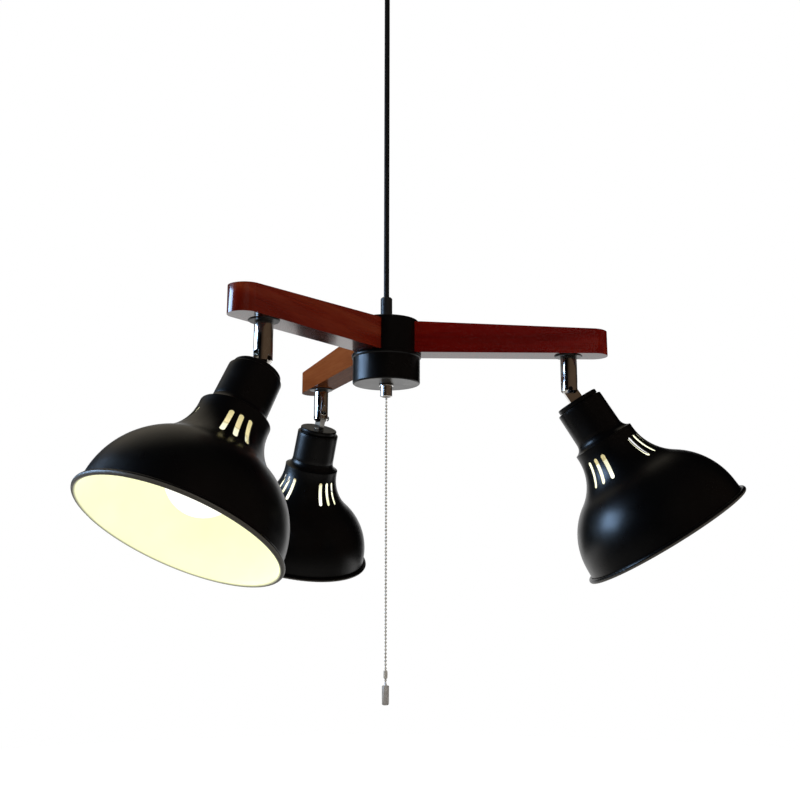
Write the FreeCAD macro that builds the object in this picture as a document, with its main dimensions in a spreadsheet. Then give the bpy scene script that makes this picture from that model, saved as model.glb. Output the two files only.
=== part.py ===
"""Pendant lamp with three wooden arms, three tilting bell heads and a pull switch.

The lamp hangs from a ceiling canopy on a taut cord. Its frame has +Z up, and its
origin on the cord's axis in the ceiling plane, which the canopy's rim touches.
Heights on the lamp itself are counted from the arms' datum, which is the level of
the wiring bore inside the arms. Each head has a frame of its own: the origin is on
the tilt pin and +Z runs along the head's axis, out of the shade's mouth.
"""
import FreeCAD, Part
import math
import os
import Sketcher

Vector = FreeCAD.Vector

HEADS = ("right", "back", "left")
# which way each pin's head faces, as a turn from the head's outward direction
PIN_HEAD_TURN = {"right": 90, "back": -90, "left": -90}

SIZES = [
    # ceiling fitting
    ("canopy_radius", 55.0),
    ("canopy_height", 38.0),
    ("canopy_wall", 1.2),
    ("canopy_shoulder", 9.0),
    ("bracket_width", 22.0),
    ("bracket_sheet", 2.0),
    ("bracket_half_length", 46.0),
    ("bracket_half_bridge", 20.0),
    ("bracket_depth", 14.0),
    ("slot_spacing", 66.7),
    ("slot_length", 12.0),
    ("slot_width", 4.4),
    ("nipple_radius", 5.0),
    ("nipple_bore_radius", 3.2),
    ("nipple_above_bridge", 3.0),
    ("nipple_in_grip", 7.0),
    ("lock_nut_flats", 14.0),
    ("lock_nut_height", 3.5),
    ("canopy_nut_radius", 9.5),
    ("canopy_nut_height", 5.0),
    ("grip_radius", 7.5),
    ("grip_mouth_radius", 5.4),
    ("grip_mouth_depth", 7.0),
    ("grip_hold_length", 5.0),
    ("grip_screw_radius", 1.5),
    ("terminal_length", 18.0),
    ("terminal_width", 9.0),
    ("terminal_height", 9.0),
    ("core_radius", 0.95),
    # cord
    ("cord_radius", 2.7),
    ("ceiling_to_arms", 445.0),
    ("cord_link_gap", 0.9),
    ("cord_link_pitch", 4.0),
    ("cord_below_gland", 6.0),
    # clearances
    ("fit_gap", 0.05),
    ("running_gap", 0.08),
    ("loose_gap", 0.2),
    # gland and hub
    ("gland_radius", 5.75),
    ("gland_length", 25.0),
    ("gland_chamfer", 1.2),
    ("gland_flange_radius", 8.5),
    ("gland_flange_height", 3.5),
    ("gland_thread_radius", 5.0),
    ("gland_thread_length", 9.0),
    ("hub_radius", 32.0),
    ("hub_wall", 1.5),
    ("hub_above_arms", 3.1),
    ("cup_step", 0.9),
    ("cup_rim_lip", 1.1),
    ("cup_rim_height", 2.8),
    ("cup_rim_slope", 1.0),
    ("cup_bottom_depth", 41.8),
    ("cup_round", 1.6),
    ("hub_plate_gap", 0.3),
    ("hub_plate_thickness", 2.5),
    ("hub_plate_hole_radius", 11.0),
    ("hub_screw_radius", 2.0),
    ("hub_screw_head_radius", 3.8),
    ("hub_screw_head_height", 2.2),
    ("hub_screw_length", 16.0),
    ("hub_screw_margin", 7.1),
    ("hub_screw_offset", 8.0),
    ("hub_terminal_length", 20.0),
    ("hub_terminal_width", 9.0),
    ("hub_terminal_height", 12.0),
    ("hub_terminal_margin", 9.4),
    # wooden arms
    ("arm_angle", -4.2),
    ("arm_length", 213.9),
    ("arm_width", 27.6),
    ("arm_root_reach", 14.0),
    ("arm_top_at_hub", 17.6),
    ("arm_top_at_end", 6.5),
    ("arm_bottom_at_hub", 13.0),
    ("arm_bottom_at_end", 17.3),
    ("wire_bore_radius", 3.0),
    ("lead_radius", 2.6),
    ("nut_recess_radius", 10.0),
    ("nut_recess_depth", 8.0),
    # stems and knuckles
    ("stem_from_arm_end", 37.5),
    ("stem_drop", 31.9),
    ("stem_radius", 8.0),
    ("stem_chamfer", 2.5),
    ("stem_thread_radius", 5.0),
    ("stem_wire_radius", 3.0),
    ("stem_nut_flats", 14.0),
    ("stem_nut_height", 5.0),
    ("plate_margin", 0.5),
    ("plate_thickness", 1.6),
    ("plate_sink", 0.4),
    ("pivot_to_stem_end", 4.0),
    ("tongue_radius", 6.4),
    ("tongue_thickness", 6.0),
    ("pin_radius", 2.0),
    ("pin_head_radius", 2.9),
    ("pin_head_height", 1.2),
    ("stud_radius", 5.0),
    ("stud_length", 12.0),
    # heads
    ("tilt_right", 32.0),
    ("tilt_back", 23.3),
    ("tilt_left", 28.2),
    ("swivel_right", 4.1),
    ("swivel_back", 4.2),
    ("swivel_left", -6.6),
    ("shade_turn_right", 46.1),
    ("shade_turn_back", -17.4),
    ("shade_turn_left", 23.0),
    ("pin_to_cap", 12.0),
    ("cap_thickness", 3.9),
    ("cap_inset", 2.5),
    ("cap_chamfer", 0.7),
    ("cap_neck_step", 0.9),
    ("cap_neck_height", 0.9),
    ("cover_length", 32.9),
    ("cover_taper", 0.3),
    ("cover_wall", 1.2),
    ("cover_top_sheet", 1.6),
    ("cover_chamfer", 0.8),
    ("holder_step", 1.0),
    ("holder_flange_lip", 2.3),
    ("holder_flange_height", 3.3),
    ("holder_floor_thickness", 5.0),
    ("holder_skirt_wall", 2.4),
    ("holder_skirt_length", 24.3),
    ("bulb_thread_gap", 0.3),
    ("bulb_neck_gap", 0.6),
    ("shade_wall", 1.0),
    ("shade_shoulder_step", 0.1),
    ("shade_cove_radius", 8.3),
    ("shade_cove_width", 6.5),
    ("shade_cove_height", 7.9),
    ("shade_neck_length", 3.4),
    ("shade_flare_radius", 47.3),
    ("shade_flare_angle", 55.9),
    ("shade_dome_radius", 65.7),
    ("shade_rim_angle", 3.6),
    ("shade_rim_length", 10.15),
    ("rim_bead_radius", 2.2),
    ("rim_bead_offset", 1.5),
    ("vent_group_count", 4),
    ("vent_start", 7.0),
    ("vent_length", 23.5),
    ("vent_width", 4.2),
    ("vent_step_angle", 15.6),
    ("ring_wall", 1.6),
    ("ring_flange", 0.8),
    ("ring_flange_height", 2.2),
    ("ring_height", 7.0),
    ("bulb_cap_radius", 13.1),
    ("bulb_contact_radius", 4.8),
    ("bulb_contact_height", 2.0),
    ("bulb_cap_taper", 4.0),
    ("bulb_cap_length", 26.0),
    ("bulb_neck_radius", 16.6),
    ("bulb_radius", 30.0),
    ("bulb_to_centre", 74.0),
    ("bulb_neck_angle", 53.5),
    ("bulb_glass", 0.8),
    # pull switch
    ("switch_length", 22.0),
    ("switch_width", 18.0),
    ("switch_height", 19.0),
    ("switch_floor", 3.0),
    ("switch_corner", 3.0),
    ("switch_side_gap", 1.0),
    ("snout_radius", 5.0),
    ("snout_length", 9.0),
    ("bracket_strip", 14.0),
    ("bracket_strip_sheet", 1.5),
    ("nipple_nut_wall", 0.85),
    ("nipple_nut_length", 12.3),
    ("nipple_nut_flange", 1.15),
    ("nipple_nut_flange_height", 1.6),
    ("nipple_mouth_radius", 4.4),
    ("pull_travel", 8.0),
    ("plunger_head_radius", 3.0),
    ("plunger_head_height", 3.0),
    ("plunger_rod_radius", 1.6),
    ("ball_radius", 1.2),
    ("ball_pitch", 3.33),
    ("ball_link_radius", 0.45),
    ("ball_count", 79),
    ("coupling_radius", 1.9),
    ("coupling_length", 7.8),
    ("pull_neck_radius", 0.65),
    ("pull_neck_length", 3.3),
    ("pull_end_radius", 3.3),
    ("pull_end_length", 17.4),
    ("pull_end_chamfer", 0.8),
]

doc = FreeCAD.newDocument("PendantLamp")
sheet = doc.addObject("Spreadsheet::Sheet", "Sizes")
parts = {}


class Formula:
    """A number, with the spreadsheet formula that gives it."""

    def __init__(self, text, value):
        self.text = text
        self.value = value

    def __add__(self, other):
        other = formula(other)
        return Formula(f"({self.text} + {other.text})", self.value + other.value)

    def __sub__(self, other):
        other = formula(other)
        return Formula(f"({self.text} - {other.text})", self.value - other.value)

    def __mul__(self, other):
        other = formula(other)
        return Formula(f"({self.text} * {other.text})", self.value * other.value)

    def __truediv__(self, other):
        other = formula(other)
        return Formula(f"({self.text} / {other.text})", self.value / other.value)

    def __neg__(self):
        return Formula(f"(0 - {self.text})", -self.value)


def formula(number):
    """A Formula stays as it is; a plain number becomes one."""
    if isinstance(number, Formula):
        return number
    return Formula(repr(float(number)), float(number))


def root(number):
    return Formula(f"sqrt({number.text})", math.sqrt(number.value))


def sine(angle):
    return Formula(f"sin({angle.text} * 1 deg)", math.sin(math.radians(angle.value)))


def cosine(angle):
    return Formula(f"cos({angle.text} * 1 deg)", math.cos(math.radians(angle.value)))


class Cells:
    """The driving sizes by name, each as a Formula on its spreadsheet cell."""


size = Cells()


def fill_sheet():
    for row, (alias, number) in enumerate(SIZES, start=1):
        sheet.set(f"A{row}", alias.replace("_", " "))
        sheet.set(f"B{row}", str(number))
        sheet.setAlias(f"B{row}", alias)
        setattr(size, alias, Formula(f"Sizes.{alias}", float(number)))
    doc.recompute()


class Bend:
    """The next stretch of an outline is an arc; side is +1 where it turns left."""

    def __init__(self, radius, side):
        self.radius = formula(radius)
        self.side = side


def arc_centre(start, end, bend):
    """Centre of the short arc from start to end."""
    chord = end - start
    half = chord.Length / 2
    rise = math.sqrt(max(bend.radius.value ** 2 - half ** 2, 0.0))
    left = Vector(-chord.y, chord.x, 0).normalize()
    return (start + end) / 2 + left * (rise * bend.side)


def draw_stretch(sketch, start, end, bend):
    """Adds a line or an arc; gives its number and the places of its two ends."""
    if bend is None:
        return sketch.addGeometry(Part.LineSegment(start, end), False), 1, 2
    centre = arc_centre(start, end, bend)
    circle = Part.Circle(centre, Vector(0, 0, 1), bend.radius.value)
    first, last = (start, end) if bend.side > 0 else (end, start)
    from_angle = math.atan2(first.y - centre.y, first.x - centre.x)
    to_angle = math.atan2(last.y - centre.y, last.x - centre.x)
    if to_angle < from_angle:
        to_angle += 2 * math.pi
    arc = sketch.addGeometry(Part.ArcOfCircle(circle, from_angle, to_angle), False)
    radius = sketch.addConstraint(Sketcher.Constraint("Radius", arc, bend.radius.value))
    sketch.setExpression(f"Constraints[{radius}]", bend.radius.text)
    return (arc, 1, 2) if bend.side > 0 else (arc, 2, 1)


def fix_point(sketch, stretch, place, across, up):
    """Ties one end of a stretch to its two formulas."""
    for kind, wanted, axis in (("DistanceX", across, -2), ("DistanceY", up, -1)):
        if wanted.value == 0:
            sketch.addConstraint(Sketcher.Constraint("PointOnObject", stretch, place, axis))
            continue
        tie = Sketcher.Constraint(kind, -1, 1, stretch, place, wanted.value)
        number = sketch.addConstraint(tie)
        sketch.setExpression(f"Constraints[{number}]", wanted.text)


def draw_outline(sketch, outline):
    """A closed outline of points, with a Bend before each point that an arc reaches."""
    points = []
    bends = []
    pending = None
    for item in outline:
        if isinstance(item, Bend):
            pending = item
            continue
        points.append((formula(item[0]), formula(item[1])))
        bends.append(pending)
        pending = None
    bends = bends[1:] + [pending]
    places = [Vector(across.value, up.value, 0) for across, up in points]
    count = len(points)
    drawn = []
    for index, bend in enumerate(bends):
        drawn.append(draw_stretch(sketch, places[index], places[(index + 1) % count], bend))
    for index in range(count):
        stretch, begin, finish = drawn[index]
        following, following_begin, _ = drawn[(index + 1) % count]
        joint = Sketcher.Constraint("Coincident", stretch, finish, following, following_begin)
        sketch.addConstraint(joint)
        fix_point(sketch, stretch, begin, *points[index])


def long_hole(near, far, middle, half, upright=False):
    """Outline of a hole with round ends, whose centres lie at near and far."""
    middle = formula(middle)
    side = -1 if upright else 1
    outline = [
        (near, middle - half),
        (far, middle - half),
        Bend(half, side),
        (far + half, middle),
        Bend(half, side),
        (far, middle + half),
        (near, middle + half),
        Bend(half, side),
        (near - half, middle),
        Bend(half, side),
    ]
    if not upright:
        return outline
    return [item if isinstance(item, Bend) else (item[1], item[0]) for item in outline]


def new_body(label):
    body = doc.addObject("PartDesign::Body", label)
    body.Label = label
    return body


def new_sketch(body, plane, name, turn=0):
    """A sketch on one of the body's own planes, turned about the sketch's upright axis."""
    sketch = body.newObject("Sketcher::SketchObject", name)
    origin_plane = [item for item in body.Origin.OriginFeatures if item.Role == plane][0]
    sketch.AttachmentSupport = [(origin_plane, "")]
    sketch.MapMode = "FlatFace"
    if turn:
        angle = formula(turn).text
        sketch.setExpression("AttachmentOffset", f"placement(vector(0; 0; 0); rotation(0; {angle}; 0))")
    return sketch


def revolve(body, outline, cut=False):
    """Turns an outline of (radius, height) points about the body's own Z axis."""
    sketch = new_sketch(body, "XZ_Plane", "Profile")
    draw_outline(sketch, outline)
    kind = "PartDesign::Groove" if cut else "PartDesign::Revolution"
    feature = body.newObject(kind, "Turned")
    feature.Profile = sketch
    feature.ReferenceAxis = (sketch, ["V_Axis"])
    feature.Angle = 360
    return feature


def turned(label, outline):
    body = new_body(label)
    revolve(body, outline)
    return body


def pad(body, plane, outlines, thickness):
    """Adds the outlines' shape, half of its thickness on each side of the plane."""
    sketch = new_sketch(body, plane, "Outline")
    for outline in outlines:
        draw_outline(sketch, outline)
    feature = body.newObject("PartDesign::Pad", "Plate")
    feature.Profile = sketch
    feature.SideType = "Symmetric"
    feature.setExpression("Length", formula(thickness).text)
    return feature


def pocket(body, plane, outlines, depth, symmetric=False, reverse=False, turn=0):
    sketch = new_sketch(body, plane, "Opening", turn)
    for outline in outlines:
        draw_outline(sketch, outline)
    doc.recompute()
    before = body.Shape.Volume
    feature = body.newObject("PartDesign::Pocket", "Cut")
    feature.Profile = sketch
    feature.Reversed = reverse
    if symmetric:
        feature.SideType = "Symmetric"
    feature.setExpression("Length", formula(depth).text)
    doc.recompute()
    check_cut(body, before)
    return feature


def drill(body, radius, depth, x=0, y=0, z=0, yaw=0, pitch=0):
    """A round hole from the given point, along +Z turned by pitch and then yaw."""
    doc.recompute()
    before = body.Shape.Volume
    hole = body.newObject("PartDesign::SubtractiveCylinder", "Hole")
    hole.setExpression("Radius", formula(radius).text)
    hole.setExpression("Height", formula(depth).text)
    put(hole, x, y, z, yaw, pitch)
    doc.recompute()
    check_cut(body, before)
    return hole


def check_cut(body, before):
    if not body.Shape.Volume < before - 0.01:
        raise RuntimeError(f"a cut in {body.Label} removes nothing")


def polar(body, features, count):
    """Repeats cuts about the body's own Z axis."""
    doc.recompute()
    before = body.Shape.Volume
    pattern = body.newObject("PartDesign::PolarPattern", "Around")
    pattern.Originals = features
    axis = [item for item in body.Origin.OriginFeatures if item.Role == "Z_Axis"][0]
    pattern.Axis = (axis, [""])
    pattern.Angle = 360
    pattern.Occurrences = int(count)
    body.Tip = pattern
    doc.recompute()
    check_cut(body, before)
    return pattern


def put(thing, x=0, y=0, z=0, yaw=0, pitch=0, spin=0):
    """Places a thing: spun about its own Z, pitched about Y, yawed about Z, then moved."""
    x, y, z, yaw, pitch, spin = (formula(number) for number in (x, y, z, yaw, pitch, spin))
    point = f"vector({x.text}; {y.text}; {z.text})"
    turn = f"rotation({yaw.text}; {pitch.text}; 0) * rotation({spin.text}; 0; 0)"
    thing.setExpression("Placement", f"placement({point}; {turn})")
    return thing


def keep(thing, *place, **where):
    """Registers a sub-part and places it."""
    put(thing, *place, **where)
    parts[thing.Label] = thing
    return thing


def cylinder(radius, height, x=0, y=0, z=0, yaw=0, pitch=0):
    thing = doc.addObject("Part::Cylinder", "Rod")
    thing.setExpression("Radius", formula(radius).text)
    thing.setExpression("Height", formula(height).text)
    return put(thing, x, y, z, yaw, pitch)


def block(length, width, height, x, y, z):
    """A box centred on x and y, standing on z."""
    thing = doc.addObject("Part::Box", "Block")
    length, width, height = formula(length), formula(width), formula(height)
    thing.setExpression("Length", length.text)
    thing.setExpression("Width", width.text)
    thing.setExpression("Height", height.text)
    return put(thing, formula(x) - length / 2, formula(y) - width / 2, z)


def hexagon(across_flats, height):
    """A six-sided prism standing on its own origin."""
    thing = doc.addObject("Part::Prism", "Hexagon")
    thing.Polygon = 6
    corner = formula(across_flats) / Formula("sqrt(3)", math.sqrt(3))
    thing.setExpression("Circumradius", corner.text)
    thing.setExpression("Height", formula(height).text)
    return thing


def cut(base, tool, label="Cut"):
    thing = doc.addObject("Part::Cut", label)
    thing.Label = label
    thing.Base = base
    thing.Tool = tool
    return thing


def fuse(pieces, label="Joined"):
    thing = doc.addObject("Part::MultiFuse", label)
    thing.Label = label
    thing.Shapes = pieces
    return thing


def group(pieces, label):
    """Separate solids that are kept together under one name."""
    thing = doc.addObject("Part::Compound", label)
    thing.Label = label
    thing.Links = pieces
    return thing


def nut(label, flats, height, bore_radius):
    """A hexagon nut standing on its own origin."""
    return cut(hexagon(flats, height), cylinder(bore_radius, height), label)


fill_sheet()

# ceiling fitting and cord, as heights in the lamp's frame
arms_level = -size.ceiling_to_arms
grip_top = -(size.canopy_height + size.canopy_nut_height)
grip_throat = grip_top - size.nipple_in_grip
grip_mouth_top = grip_throat - size.grip_hold_length
grip_bottom = grip_mouth_top - size.grip_mouth_depth
half_gap = size.cord_link_gap / 2
upper_bend = grip_mouth_top - half_gap
lower_bend = upper_bend - size.cord_link_pitch

# hub, as heights from the arms' datum
cup_radius = size.hub_radius + size.cup_step
cup_inside = cup_radius - size.hub_wall
cup_rim_radius = cup_radius + size.cup_rim_lip
hub_top_level = size.arm_top_at_hub + size.hub_above_arms
hub_plate_radius = cup_inside - size.hub_plate_gap
hub_plate_low = -(size.arm_bottom_at_hub + size.hub_plate_thickness)
hub_screw_reach = hub_plate_radius - size.hub_screw_margin
hub_terminal_reach = cup_inside - size.hub_terminal_margin

# switch
snout_bore_radius = size.plunger_rod_radius + size.loose_gap
switch_cavity_radius = size.plunger_head_radius + size.loose_gap
nipple_nut_radius = size.snout_radius + size.nipple_nut_wall
switch_level = arms_level + size.hub_wall - size.cup_bottom_depth + size.bracket_strip_sheet
chain_top = switch_level - size.snout_length
coupling_top = chain_top - size.ball_pitch * size.ball_count
pull_end_top = coupling_top - size.coupling_length - size.ball_radius * 2


def arm_face_at(reach, at_hub, at_end):
    """Height of an arm's upper or lower face at a distance from the lamp's axis."""
    slope = (at_end - at_hub) / (size.arm_length - cup_rim_radius)
    return at_hub + slope * (reach - cup_rim_radius)


# arms and stems, as heights from the arms' datum
arm_angles = [size.arm_angle + 120 * index for index in range(len(HEADS))]
stem_reach = size.arm_length - size.stem_from_arm_end
stem_under_arm = arm_face_at(stem_reach, -size.arm_bottom_at_hub, -size.arm_bottom_at_end)
stem_over_arm = arm_face_at(stem_reach, size.arm_top_at_hub, size.arm_top_at_end)
nut_seat_level = stem_over_arm - size.nut_recess_depth
plate_seat_level = stem_under_arm + size.plate_sink
plate_low_level = plate_seat_level - size.plate_thickness
plate_radius = size.arm_width / 2 - size.plate_margin
pivot_level = plate_low_level - size.stem_drop

# heads, as distances from the pin along the head's axis
cover_start = size.pin_to_cap + size.cap_thickness + size.cap_neck_height
shade_seat = cover_start + size.cover_length
shade_neck_start = shade_seat + size.shade_cove_height
shade_neck_end = shade_neck_start + size.shade_neck_length
stud_end = size.pin_to_cap + size.stud_length
holder_floor = stud_end + size.holder_floor_thickness
holder_end = shade_seat + size.holder_skirt_length
bulb_cap_end = holder_floor + size.bulb_cap_length

# heads, as radii from the bulb outwards
skirt_inside = size.bulb_neck_radius + size.bulb_neck_gap
skirt_radius = skirt_inside + size.holder_skirt_wall
holder_flange_radius = skirt_radius + size.holder_flange_lip
cover_bottom_radius = holder_flange_radius + size.loose_gap + size.cover_wall
cover_top_radius = cover_bottom_radius - size.cover_taper
cap_radius = cover_top_radius - size.cap_inset
shade_shoulder_radius = cover_bottom_radius + size.shade_shoulder_step
shade_neck_radius = shade_shoulder_radius + size.shade_cove_width
ring_body_radius = skirt_radius + size.ring_wall


# ceiling fitting


def make_bracket():
    """Hat-shaped ceiling strip: two slotted feet and a dropped bridge between them."""
    bracket = new_body("mounting_bracket")
    sheet_metal = size.bracket_sheet
    foot = size.bracket_half_length
    bridge = size.bracket_half_bridge
    depth = size.bracket_depth
    outline = [
        (-foot, 0),
        (-foot, -sheet_metal),
        (-bridge, -sheet_metal),
        (-bridge, -depth),
        (bridge, -depth),
        (bridge, -sheet_metal),
        (foot, -sheet_metal),
        (foot, 0),
        (bridge - sheet_metal, 0),
        (bridge - sheet_metal, sheet_metal - depth),
        (sheet_metal - bridge, sheet_metal - depth),
        (sheet_metal - bridge, 0),
    ]
    pad(bracket, "XZ_Plane", [outline], size.bracket_width)
    half_slot = size.slot_width / 2
    half_length = size.slot_length / 2 - half_slot
    slots = []
    for side in (-1, 1):
        middle = size.slot_spacing / 2 * side
        slots.append(long_hole(middle - half_length, middle + half_length, 0, half_slot))
    pocket(bracket, "XY_Plane", slots, sheet_metal * 3, symmetric=True)
    drill(bracket, size.nipple_radius + size.fit_gap, size.bracket_depth, z=-depth * 1.5)
    keep(bracket)


def make_bracket_nipple():
    """Threaded tube that carries the canopy and the cord grip."""
    top = size.bracket_sheet - size.bracket_depth + size.nipple_above_bridge
    outline = [
        (size.nipple_bore_radius, grip_throat),
        (size.nipple_radius, grip_throat),
        (size.nipple_radius, top),
        (size.nipple_bore_radius, top),
    ]
    keep(turned("bracket_nipple", outline))


def make_lock_nut():
    bore = size.nipple_radius + size.fit_gap
    lock_nut = nut("lock_nut", size.lock_nut_flats, size.lock_nut_height, bore)
    keep(lock_nut, z=-size.bracket_depth - size.lock_nut_height)


def make_canopy():
    """Round cup whose rim touches the ceiling."""
    radius = size.canopy_radius
    inner = radius - size.canopy_wall
    shoulder = size.canopy_shoulder
    inner_shoulder = shoulder - size.canopy_wall
    floor = size.canopy_wall - size.canopy_height
    hole = size.nipple_radius + size.fit_gap
    outline = [
        (hole, -size.canopy_height),
        (radius - shoulder, -size.canopy_height),
        Bend(shoulder, 1),
        (radius, shoulder - size.canopy_height),
        (radius, 0),
        (inner, 0),
        (inner, shoulder - size.canopy_height),
        Bend(inner_shoulder, -1),
        (radius - shoulder, floor),
        (hole, floor),
    ]
    keep(turned("canopy", outline))


def make_canopy_nut():
    """Ring below the canopy, with a chamfer at its lower edge."""
    chamfer = size.canopy_nut_height / 4
    bore = size.nipple_radius + size.fit_gap
    radius = size.canopy_nut_radius
    outline = [
        (bore, 0),
        (radius - chamfer, 0),
        (radius, chamfer),
        (radius, size.canopy_nut_height),
        (bore, size.canopy_nut_height),
    ]
    keep(turned("canopy_nut", outline), z=grip_top)


def make_cord_grip():
    """Bush that clamps the cord, with a flared mouth that the cord can lean in."""
    bore = size.nipple_radius + size.fit_gap
    hold = size.cord_radius + size.fit_gap
    chamfer = size.grip_radius / 6
    outline = [
        (bore, grip_top),
        (bore, grip_throat),
        (hold, grip_throat),
        (hold, grip_mouth_top),
        (hold + size.loose_gap, grip_mouth_top),
        (size.grip_mouth_radius, grip_bottom),
        (size.grip_radius - chamfer, grip_bottom),
        (size.grip_radius, grip_bottom + chamfer),
        (size.grip_radius, grip_top),
    ]
    grip = turned("cord_grip", outline)
    middle = (grip_throat + grip_mouth_top) / 2
    drill(grip, size.grip_screw_radius + size.fit_gap, size.grip_radius * 2, z=middle, pitch=90)
    keep(grip)


def make_grip_screw():
    """Set screw that presses on the cord."""
    tip = size.cord_radius + size.fit_gap
    length = size.grip_radius - tip
    screw = new_body("grip_screw")
    socket = size.grip_screw_radius / 2
    outline = [
        (0, 0),
        (size.grip_screw_radius, 0),
        (size.grip_screw_radius, length),
        (socket, length),
        (socket, length / 2),
        (0, length / 2),
    ]
    revolve(screw, outline)
    keep(screw, x=tip, z=(grip_throat + grip_mouth_top) / 2, pitch=90)


def make_supply_terminal():
    """Two-way terminal block on the bracket's bridge, against one of its legs."""
    bridge_top = size.bracket_sheet - size.bracket_depth
    leg = size.bracket_half_bridge - size.bracket_sheet
    across = size.terminal_width / 2 - leg
    body = block(size.terminal_width, size.terminal_length, size.terminal_height, across, 0, bridge_top)
    wires = []
    for side in (-1, 1):
        wires.append(cylinder(
            size.core_radius + size.fit_gap,
            size.terminal_width,
            x=-leg,
            y=size.terminal_length / 4 * side,
            z=bridge_top + size.terminal_height / 2,
            pitch=90,
        ))
        wires.append(cylinder(
            size.core_radius * 1.6,
            size.terminal_height / 2,
            x=across,
            y=size.terminal_length / 4 * side,
            z=bridge_top + size.terminal_height / 2,
        ))
    keep(cut(body, fuse(wires), "supply_terminal"))


def rods(points, radius):
    """Round rods from point to point, with a ball at each point but the last."""
    pieces = []
    for start, end in zip(points, points[1:]):
        run = end - start
        pieces.append(Part.makeCylinder(radius, run.Length, start, run))
        pieces.append(Part.makeSphere(radius, start))
    return pieces


def make_cord_tail():
    """The cord's end above the grip, with its two cores bent over to the terminal."""
    bridge_top = size.bracket_sheet - size.bracket_depth
    jacket_top = bridge_top + size.nipple_above_bridge
    jacket = cylinder(size.cord_radius, jacket_top - grip_mouth_top, z=grip_mouth_top)
    level = bridge_top + size.terminal_height / 2
    leg = size.bracket_half_bridge - size.bracket_sheet
    reach = leg - size.terminal_width / 2
    core_entry = size.terminal_width - leg + size.core_radius
    pieces = [jacket]
    for side in (-1, 1):
        root = Vector(0, side * size.cord_radius.value / 2, jacket_top.value)
        rise = level.value - jacket_top.value
        elbow = root + Vector(-rise, 0, rise)
        middle = root + Vector(-rise * (1 - math.cos(math.pi / 4)), 0, rise * math.sin(math.pi / 4))
        entry = Vector(core_entry.value, side * size.terminal_length.value / 4, level.value)
        end = Vector(-reach.value, entry.y, level.value)
        path = Part.Wire([Part.Arc(root, middle, elbow).toShape()])
        ring = Part.Circle(root, Vector(0, 0, 1), size.core_radius.value)
        bend = path.makePipeShell([Part.Wire([ring.toShape()])], True, True)
        core = doc.addObject("Part::Feature", "Core")
        core.Shape = bend.fuse(rods([elbow, entry, end], size.core_radius.value))
        pieces.append(core)
    keep(fuse(pieces, "cord_tail"))


# cord


def make_cord():
    """A short link in the grip's mouth and the long taut run down into the gland."""
    link_length = size.cord_link_pitch - size.cord_link_gap
    link = cylinder(size.cord_radius, link_length)
    link.Label = "cord_bend"
    keep(link, z=lower_bend + half_gap)
    bottom = arms_level + hub_top_level - size.gland_thread_length - size.cord_below_gland
    run = cylinder(size.cord_radius, lower_bend - half_gap - bottom)
    run.Label = "cord"
    keep(run, z=bottom)


# gland and hub


def make_gland():
    """Strain relief on top of the hub, turning freely on the cord."""
    bore = size.cord_radius + size.running_gap
    top = size.gland_length
    chamfer = size.gland_chamfer
    outline = [
        (bore, -size.gland_thread_length),
        (size.gland_thread_radius, -size.gland_thread_length),
        (size.gland_thread_radius, 0),
        (size.gland_flange_radius, 0),
        (size.gland_flange_radius, size.gland_flange_height),
        (size.gland_radius, size.gland_flange_height + 1),
        (size.gland_radius, top - chamfer),
        (size.gland_radius - chamfer, top),
        (bore, top),
    ]
    keep(turned("gland", outline), z=arms_level + hub_top_level)


def make_gland_nut():
    height = size.gland_flange_height
    gland_nut = nut("gland_nut", size.lock_nut_flats, height, size.gland_thread_radius + size.fit_gap)
    keep(gland_nut, z=arms_level + hub_top_level - size.hub_wall - height)


def make_hub_housing():
    """Upper drum with three notches, open at the bottom, that the arms lie in."""
    radius = size.hub_radius
    inner = radius - size.hub_wall
    top = hub_top_level
    bottom = -size.arm_bottom_at_hub
    chamfer = size.hub_wall / 2
    hole = size.gland_thread_radius + size.fit_gap
    housing = turned("hub_housing", [
        (inner, bottom),
        (radius, bottom),
        (radius, top - chamfer),
        (radius - chamfer, top),
        (hole, top),
        (hole, top - size.hub_wall),
        (inner, top - size.hub_wall),
    ])
    half = size.arm_width / 2 + size.loose_gap
    lintel = size.arm_top_at_hub + size.loose_gap
    notch = [(-half, bottom - 1), (half, bottom - 1), (half, lintel), (-half, lintel)]
    first = pocket(housing, "YZ_Plane", [notch], radius + 1, reverse=True)
    polar(housing, [first], len(HEADS))
    keep(housing, z=arms_level, yaw=size.arm_angle)


def make_hub_plate():
    """Steel plate under the arms' roots, screwed to all three."""
    under = size.hub_plate_thickness
    plate = turned("hub_plate", [
        (size.hub_plate_hole_radius, -under),
        (hub_plate_radius, -under),
        (hub_plate_radius, 0),
        (size.hub_plate_hole_radius, 0),
    ])
    holes = []
    for side in (-1, 1):
        holes.append(drill(
            plate,
            size.hub_screw_radius + size.loose_gap,
            under * 3,
            x=hub_screw_reach,
            y=size.hub_screw_offset * side,
            z=-under * 2,
        ))
    polar(plate, holes, len(HEADS))
    keep(plate, z=arms_level - size.arm_bottom_at_hub, yaw=size.arm_angle)


def make_hub_screws():
    """Two wood screws up into each arm's root."""
    screws = []
    for angle in arm_angles:
        for side in (-1, 1):
            across = size.hub_screw_offset * side
            screw = turned("HubScrew", [
                (0, 0),
                (size.hub_screw_head_radius, 0),
                (size.hub_screw_head_radius, size.hub_screw_head_height),
                (size.hub_screw_radius, size.hub_screw_head_height),
                (size.hub_screw_radius, size.hub_screw_length - size.hub_screw_radius),
                (0, size.hub_screw_length + size.hub_screw_head_height),
            ])
            x = hub_screw_reach * cosine(angle) - across * sine(angle)
            y = hub_screw_reach * sine(angle) + across * cosine(angle)
            screws.append(put(screw, x, y, -size.hub_screw_head_height))
    keep(group(screws, "hub_screws"), z=arms_level + hub_plate_low)


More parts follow.
